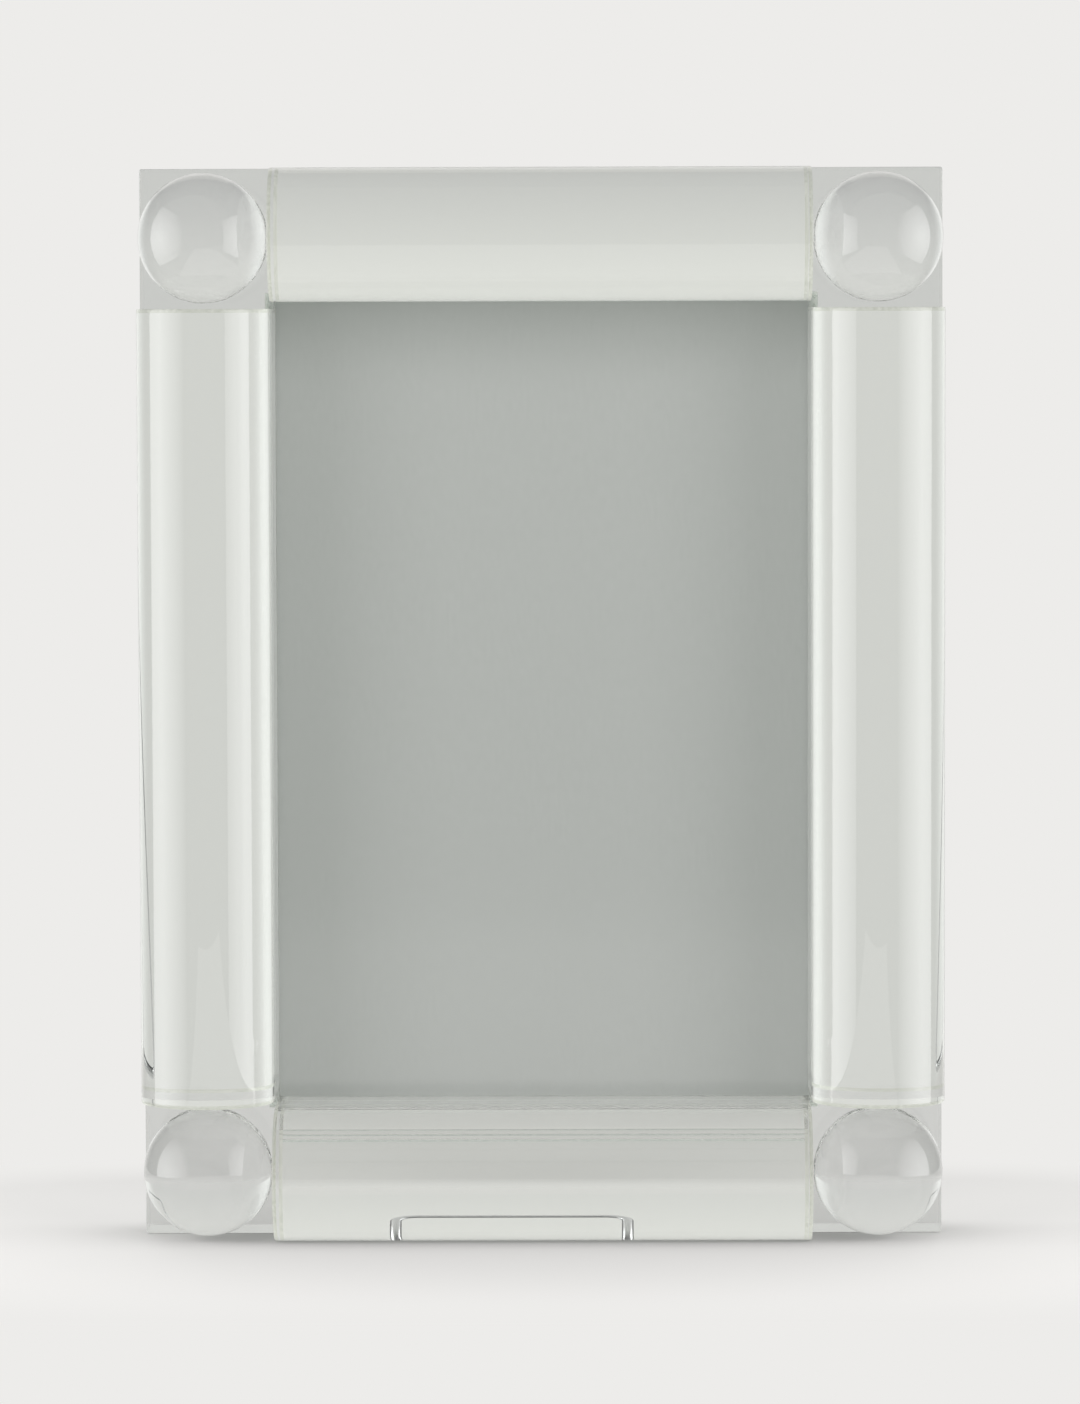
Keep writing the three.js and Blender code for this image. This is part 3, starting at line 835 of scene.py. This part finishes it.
def build_latch(name):
    low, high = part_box(f"turn_latch_{name}")
    centre = Vector(((low.x + high.x) / 2, (low.z + high.z) / 2))
    radius = (high.z - low.z) / 2
    outer = round_ended((high.x - low.x) / 2 - radius, radius)
    hole = round_ended(0, SCREW_RADIUS + HOLE_GAP)

    def place(u, v, w):
        return (centre.x + u, w, centre.y + v)

    mesh = bmesh.new()
    steps = end_profile(LATCH_EDGE, LATCH_EDGE)
    rings = [add_ring(mesh, hole, place, low.y)]
    rings += [add_ring(mesh, inset(outer, way), place, low.y + level) for way, level in steps]
    rings += [add_ring(mesh, inset(outer, way), place, high.y - level) for way, level in reversed(steps)]
    rings.append(add_ring(mesh, hole, place, high.y))
    pairs = [False] + [True] * (2 * EDGE_STEPS + 1) + [False, True]
    join_rings(mesh, rings, ["flat"] * len(outer), pairs, closed=True)
    finish_piece(f"latch_blade_{name}", mesh, [steel], "bright_steel", f"latch_{name}",
                 f"turn_latch_{name}")
    build_screw(name, centre)


def build_screw(name, centre):
    low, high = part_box(f"latch_screw_{name}")
    head_radius = (high.x - low.x) / 2
    head_base = high.y - SCREW_HEAD_HEIGHT
    profile = [
        (0, low.y, False),
        (SCREW_TIP_SHARE * SCREW_RADIUS, low.y, True),
        (SCREW_RADIUS, low.y + SCREW_TIP_LENGTH, True),
        (SCREW_RADIUS, head_base, False),
        (head_radius - HEAD_EDGE, head_base, True),
        (head_radius, head_base + HEAD_EDGE, True),
    ]
    mesh = bmesh.new()
    lathe(mesh, profile + dome(head_radius, head_base + SCREW_HEAD_RIM, high.y), centre)
    piece = finish_piece(f"slotted_screw_{name}", mesh, [steel], "bright_steel", "frame",
                         f"latch_screw_{name}")
    cut_slot(piece, centre, high.y, head_radius)


def cut_slot(piece, centre, top, head_radius):
    """The screwdriver's slot across the head."""
    cutter_mesh = bmesh.new()
    bmesh.ops.create_cube(cutter_mesh, size=1)
    data = bpy.data.meshes.new("slot_cutter")
    cutter_mesh.to_mesh(data)
    cutter_mesh.free()
    cutter = bpy.data.objects.new("slot_cutter", data)
    scene.collection.objects.link(cutter)
    cutter.scale = (SCREW_SLOT_REACH * head_radius, 2 * SCREW_SLOT_DEPTH, SCREW_SLOT_WIDTH)
    cutter.location = (centre.x, top, centre.y)
    turn = 90 * (centre.x * SCREW_TURN_X + centre.y * SCREW_TURN_Z) % 90
    cutter.rotation_euler = (0, math.radians(turn), 0)
    bpy.context.view_layer.update()
    modifier = piece.modifiers.new("slot", "BOOLEAN")
    modifier.operation = "DIFFERENCE"
    modifier.object = cutter
    evaluated = piece.evaluated_get(bpy.context.evaluated_depsgraph_get())
    cut = bpy.data.meshes.new_from_object(evaluated)
    piece.modifiers.clear()
    piece.data = cut
    bpy.data.objects.remove(cutter)


def build_latches():
    for side in ("left", "right"):
        for end in ("lower", "upper"):
            build_latch(f"{end}_{side}")


# Hinge plate and rivets

def build_hinge_plate():
    mesh = bmesh.new()
    half_width = (plate_high.x - plate_low.x) / 2
    half_height = PLATE_HEIGHT / 2
    outline = make_outline([
        (-half_width, -half_height, "flat", PLATE_CORNER),
        (half_width, -half_height, "flat", PLATE_CORNER),
        (half_width, half_height, "flat", PLATE_CORNER),
        (-half_width, half_height, "flat", PLATE_CORNER),
    ])
    extrude(mesh, outline, lambda u, v, w: (hinge.x + u, w, hinge.z + v),
            plate_low.y, plate_low.y + PLATE_THICKNESS, PLATE_EDGE)
    for side in (-1, 1):
        add_knuckle(mesh, hinge.x + side * knuckle_x)
        add_stop(mesh, side)
    finish_piece("riveted_hinge_plate", mesh, [steel], "bright_steel", "frame", "hinge_plate")


def add_knuckle(mesh, centre_x):
    """A strip that rises from the plate and rolls round the wire, seen from the side in Y and Z."""
    inner = WIRE_RADIUS + KNUCKLE_GAP
    outer = inner + KNUCKLE_WALL
    turns = [QUARTER_TURN - KNUCKLE_SWEEP * step / KNUCKLE_STEPS for step in range(KNUCKLE_STEPS + 1)]
    outside, inside = (
        [Vector((hinge.y + radius * math.cos(turn), hinge.z + radius * math.sin(turn))) for turn in turns]
        for radius in (outer, inner)
    )
    outline = [(Vector((plate_root, hinge.z + outer)), "flat")]
    outline += [(point, "round") for point in outside[:-1]] + [(outside[-1], "flat")]
    outline += [(point, "round") for point in inside[:0:-1]] + [(inside[0], "flat")]
    outline.append((Vector((plate_root, hinge.z + inner)), "flat"))
    extrude(mesh, outline, lambda u, v, w: (w, u, v),
            centre_x - KNUCKLE_LENGTH / 2, centre_x + KNUCKLE_LENGTH / 2, STRIP_EDGE)


def add_stop(mesh, side):
    """A bent ear: a post beside the arm and a lip behind it."""
    lip_front = (hinge.y + STOP_DROP * math.tan(OPEN_ANGLE)
                 + WIRE_RADIUS / math.cos(OPEN_ANGLE) + STOP_CONTACT_GAP)
    lip_back = lip_front + STOP_WALL
    post = arm_x + WIRE_RADIUS + STOP_SIDE_GAP
    corners = [
        (post, plate_root, "flat", 0),
        (post + STOP_WALL, plate_root, "flat", 0),
        (post + STOP_WALL, lip_back, "flat", STOP_BEND),
        (arm_x - WIRE_RADIUS, lip_back, "flat", STOP_CORNER),
        (arm_x - WIRE_RADIUS, lip_front, "flat", STOP_CORNER),
        (post, lip_front, "flat", 0),
    ]
    outline = make_outline([(side * x, y, kind, radius) for x, y, kind, radius in corners])
    extrude(mesh, outline, lambda u, v, w: (hinge.x + u, v, hinge.z + w),
            -STOP_DROP, -STOP_DROP + STOP_LENGTH, STRIP_EDGE)


def build_rivets():
    for number in range(1, 5):
        low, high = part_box(f"hinge_rivet_{number}")
        head_radius = (high.x - low.x) / 2
        head_base = plate_low.y + PLATE_THICKNESS + SEAT_GAP
        profile = [
            (0, low.y, False),
            (RIVET_RADIUS, low.y, False),
            (RIVET_RADIUS, head_base, False),
            (head_radius - HEAD_EDGE, head_base, True),
        ]
        mesh = bmesh.new()
        lathe(mesh, profile + dome(head_radius, head_base + HEAD_EDGE, high.y),
              ((low.x + high.x) / 2, (low.z + high.z) / 2))
        finish_piece(f"domed_rivet_{number}", mesh, [steel], "bright_steel", "frame",
                     f"hinge_rivet_{number}")


# Wire leg

def wire_path(foot):
    """The wire's centre line in the leg's own plane: across, down, along the foot and up again."""
    inner = knuckle_x - KNUCKLE_LENGTH / 2 - WIRE_END_REACH
    stretches = [
        [(-inner, 0), (-arm_x + TOP_BEND, 0)],
        [(-arm_x + TOP_BEND, 0), (-arm_x, 0), (-arm_x, -TOP_BEND)],
        [(-arm_x, -TOP_BEND), (-arm_x, foot + FOOT_BEND)],
        [(-arm_x, foot + FOOT_BEND), (-arm_x, foot), (-arm_x + FOOT_BEND, foot)],
    ]
    half = []
    for stretch in stretches:
        first, second, third = (Vector(point) for point in (stretch + stretch[-1:])[:3])
        steps = WIRE_STRAIGHT_STEPS if len(stretch) == 2 else WIRE_BEND_STEPS
        for step in range(steps):
            share = step / steps
            point = first.lerp(second, share)
            if len(stretch) == 3:
                point = point.lerp(second.lerp(third, share), share)
            half.append(point)
    half.append(Vector((-arm_x + FOOT_BEND, foot)))
    return half + [Vector((-point.x, point.y)) for point in half[::-1]]


def build_leg():
    lean = Matrix.Rotation(OPEN_ANGLE, 3, "X")
    length = (hinge.z - leg_low.z - WIRE_RADIUS) / math.cos(OPEN_ANGLE)
    path = wire_path(-length)
    section = circle(WIRE_RADIUS, WIRE_SIDES)
    mesh = bmesh.new()
    rings = []
    for index, centre in enumerate(path):
        ahead = path[min(index + 1, len(path) - 1)]
        behind = path[max(index - 1, 0)]
        along = (ahead - behind).normalized()
        across = Vector((-along.y, along.x))
        ring = []
        for point in section:
            local = Vector((centre.x + across.x * point.x, point.y, centre.y + across.y * point.x))
            ring.append(mesh.verts.new(hinge + lean @ local))
        rings.append(ring)
    join_rings(mesh, rings, ["round"] * WIRE_SIDES, [False] * (len(rings) - 1))
    for ring, way in ((rings[0], 1), (rings[-1], -1)):
        round_wire_end(mesh, ring, way)
    finish_piece("wire_leg", mesh, [chrome], "wire_chrome", "easel", "easel_leg")


def round_wire_end(mesh, ring, way):
    """A small dome on the cut end of the wire, which points along X."""
    centre = sum((vertex.co for vertex in ring), Vector()) / len(ring)
    last = ring
    for step in range(1, WIRE_DOME_STEPS + 1):
        angle = QUARTER_TURN * step / WIRE_DOME_STEPS
        shift = Vector((way * WIRE_END_DOME * math.sin(angle), 0, 0))
        if step < WIRE_DOME_STEPS:
            made = [mesh.verts.new(centre + (vertex.co - centre) * math.cos(angle) + shift)
                    for vertex in ring]
        else:
            made = [mesh.verts.new(centre + shift)] * len(ring)
        join_rings(mesh, [last, made], ["round"] * len(ring), [False])
        last = made


# Camera and lamps

def build_camera():
    data = bpy.data.cameras.new("camera")
    data.sensor_width = SENSOR
    data.lens = FOCAL_PIXELS / PHOTO_HEIGHT * SENSOR
    camera = bpy.data.objects.new("camera", data)
    scene.collection.objects.link(camera)
    aim = (Matrix.Rotation(CAMERA_YAW, 4, "Z") @ Matrix.Rotation(CAMERA_ROLL, 4, "Y")
           @ Matrix.Rotation(CAMERA_PITCH + QUARTER_TURN, 4, "X"))
    camera.matrix_world = Matrix.Translation(CAMERA_PLACE) @ aim
    scene.camera = camera


def add_area_lamp(name, place, turn, width, height, power):
    """A lamp that neither the camera nor clear glass shows."""
    data = bpy.data.lights.new(name, "AREA")
    data.shape = "RECTANGLE"
    data.size = width
    data.size_y = height
    data.energy = power
    lamp = bpy.data.objects.new(name, data)
    scene.collection.objects.link(lamp)
    lamp.location = place
    lamp.rotation_euler = turn
    lamp.visible_camera = False
    lamp.visible_transmission = False
    return lamp


def build_softbox(name, side):
    """A large softbox beside the table, brightest straight in front of itself."""
    x, y, z = SOFTBOX_PLACE
    lamp = add_area_lamp(name, (side * x, y, z), (0, side * QUARTER_TURN, -side * SOFTBOX_TURN),
                         SOFTBOX_HEIGHT, SOFTBOX_WIDTH, SOFTBOX_POWER)
    lamp.data.spread = SOFTBOX_SPREAD


def build_plain_light(name, place, size, power):
    """Soft light on dull surfaces, which is left out of reflections."""
    aim = (Vector((0, 0, cad_high.z / 2)) - Vector(place)).to_track_quat("-Z", "Y").to_euler()
    lamp = add_area_lamp(name, place, aim, *size, power)
    lamp.visible_glossy = False


def build_lamps():
    build_softbox("softbox_left", -1)
    build_softbox("softbox_right", 1)
    x, y, z = FRONT_LIGHT_PLACE
    build_plain_light("front_light_left", (-x, y, z), FRONT_LIGHT_SIZE, FRONT_LIGHT_POWER)
    build_plain_light("front_light_right", (x, y, z), FRONT_LIGHT_SIZE, FRONT_LIGHT_POWER)
    build_plain_light("top_light", TOP_LIGHT_PLACE, TOP_LIGHT_SIZE, TOP_LIGHT_POWER)


# Backdrop and table

def add_colour_mix(nodes, links, factor, first, second):
    mix = nodes.new("ShaderNodeMix")
    mix.data_type = "RGBA"
    links.new(factor, mix.inputs["Factor"])
    for name, colour in (("A", first), ("B", second)):
        if isinstance(colour, tuple):
            mix.inputs[name].default_value = (*colour, 1)
        else:
            links.new(colour, mix.inputs[name])
    return mix.outputs["Result"]


def add_math(nodes, links, operation, *values):
    """A math step on plain numbers, each the output of another node."""
    step = nodes.new("ShaderNodeMath")
    step.operation = operation
    for number, value in enumerate(values):
        links.new(value, step.inputs[number])
    return step.outputs["Value"]


def add_vector_step(nodes, links, operation, first, second=None):
    step = nodes.new("ShaderNodeVectorMath")
    step.operation = operation
    links.new(first, step.inputs[0])
    if second is not None:
        step.inputs[1].default_value = second
    return step


def build_world():
    """A dim room in front of a backdrop that looks plain to the camera, and uneven through glass."""
    world = bpy.data.worlds.new("studio")
    scene.world = world
    world.use_nodes = True
    nodes = world.node_tree.nodes
    links = world.node_tree.links
    nodes.clear()
    place = nodes.new("ShaderNodeTexCoord")
    split = nodes.new("ShaderNodeSeparateXYZ")
    path = nodes.new("ShaderNodeLightPath")
    light = nodes.new("ShaderNodeBackground")
    output = nodes.new("ShaderNodeOutputWorld")
    links.new(place.outputs["Generated"], split.inputs["Vector"])
    rise = add_slope(nodes, links, split.outputs["Z"], *RISE_SLOPE)
    behind = add_slope(nodes, links, split.outputs["Y"], *BEHIND_SLOPE)
    across = add_math(nodes, links, "ABSOLUTE", split.outputs["X"])
    oblique = add_slope(nodes, links, across, *OBLIQUE_SLOPE)
    level = add_slope(nodes, links, across, *LEVEL_SLOPE)
    through = add_colour_mix(nodes, links, rise, BACKDROP_LOW, BACKDROP_HIGH)
    through = add_colour_mix(nodes, links, oblique, through, SIDE_GLOW)
    through = add_colour_mix(nodes, links, level, through, BACKDROP)
    mirrored = add_colour_mix(nodes, links, behind, ROOM, BACKDROP)
    colour = add_colour_mix(nodes, links, path.outputs["Is Glossy Ray"], FILL, mirrored)
    colour = add_colour_mix(nodes, links, path.outputs["Is Transmission Ray"], colour, through)
    colour = add_colour_mix(nodes, links, path.outputs["Is Camera Ray"], colour, BACKDROP)
    links.new(colour, light.inputs["Color"])
    links.new(light.outputs["Background"], output.inputs["Surface"])


def table_material():
    """A dull pale top that takes the frame's soft shadow and turns into the backdrop's colour round it.
    Behind the frame a painted glow lightens the shadow.
    """
    material, nodes, links, shader = new_material("table_top")
    shader.inputs["Base Color"].default_value = (*TABLE_TINT, 1)
    shader.inputs["Roughness"].default_value = 1
    shader.inputs["Specular IOR Level"].default_value = 0
    place = nodes.new("ShaderNodeTexCoord")
    foot = ((cad_high.x - cad_low.x) / 2, (glass_back - cad_low.y) / 2, 1)
    middle = (0, (glass_back + cad_low.y) / 2, 0)
    away = add_vector_step(nodes, links, "SUBTRACT", place.outputs["Object"], middle)
    away = add_vector_step(nodes, links, "ABSOLUTE", away.outputs["Vector"])
    away = add_vector_step(nodes, links, "SUBTRACT", away.outputs["Vector"], foot)
    away = add_vector_step(nodes, links, "MAXIMUM", away.outputs["Vector"], (0, 0, 0))
    away = add_vector_step(nodes, links, "LENGTH", away.outputs["Vector"])
    around = add_slope(nodes, links, away.outputs["Value"], SHADOW_START, SHADOW_REACH)
    split = nodes.new("ShaderNodeSeparateXYZ")
    links.new(place.outputs["Object"], split.inputs["Vector"])
    # Painted light: behind the frame the glow lightens the frame's shadow on the table
    behind = add_slope(nodes, links, split.outputs["Y"], 0, glass_back, 1 - SHADOW_BEHIND)
    glow = nodes.new("ShaderNodeEmission")
    glow.inputs["Color"].default_value = (*BACKDROP, 1)
    blend = nodes.new("ShaderNodeMixShader")
    links.new(add_math(nodes, links, "MAXIMUM", around, behind), blend.inputs["Fac"])
    links.new(shader.outputs["BSDF"], blend.inputs[1])
    links.new(glow.outputs["Emission"], blend.inputs[2])
    links.new(blend.outputs["Shader"], nodes["Material Output"].inputs["Surface"])
    return material


def build_table():
    mesh = bmesh.new()
    corners = [(-TABLE_HALF_WIDTH, TABLE_FRONT), (TABLE_HALF_WIDTH, TABLE_FRONT),
               (TABLE_HALF_WIDTH, TABLE_BACK), (-TABLE_HALF_WIDTH, TABLE_BACK)]
    mesh.faces.new([mesh.verts.new((x, y, cad_low.z - TABLE_GAP)) for x, y in corners])
    data = bpy.data.meshes.new("table")
    mesh.to_mesh(data)
    mesh.free()
    data.materials.append(table_material())
    table = bpy.data.objects.new("table", data)
    scene.collection.objects.link(table)


scene.view_settings.view_transform = "Standard"
scene.cycles.max_bounces = 32
scene.cycles.transmission_bounces = 32
scene.cycles.glossy_bounces = 16
scene.cycles.transparent_max_bounces = 64
scene.cycles.caustics_refractive = False
scene.cycles.caustics_reflective = False

build_camera()
build_bars()
build_corners()
build_pocket_stack()
build_latches()
build_hinge_plate()
build_rivets()
build_leg()
build_lamps()
build_world()
build_table()
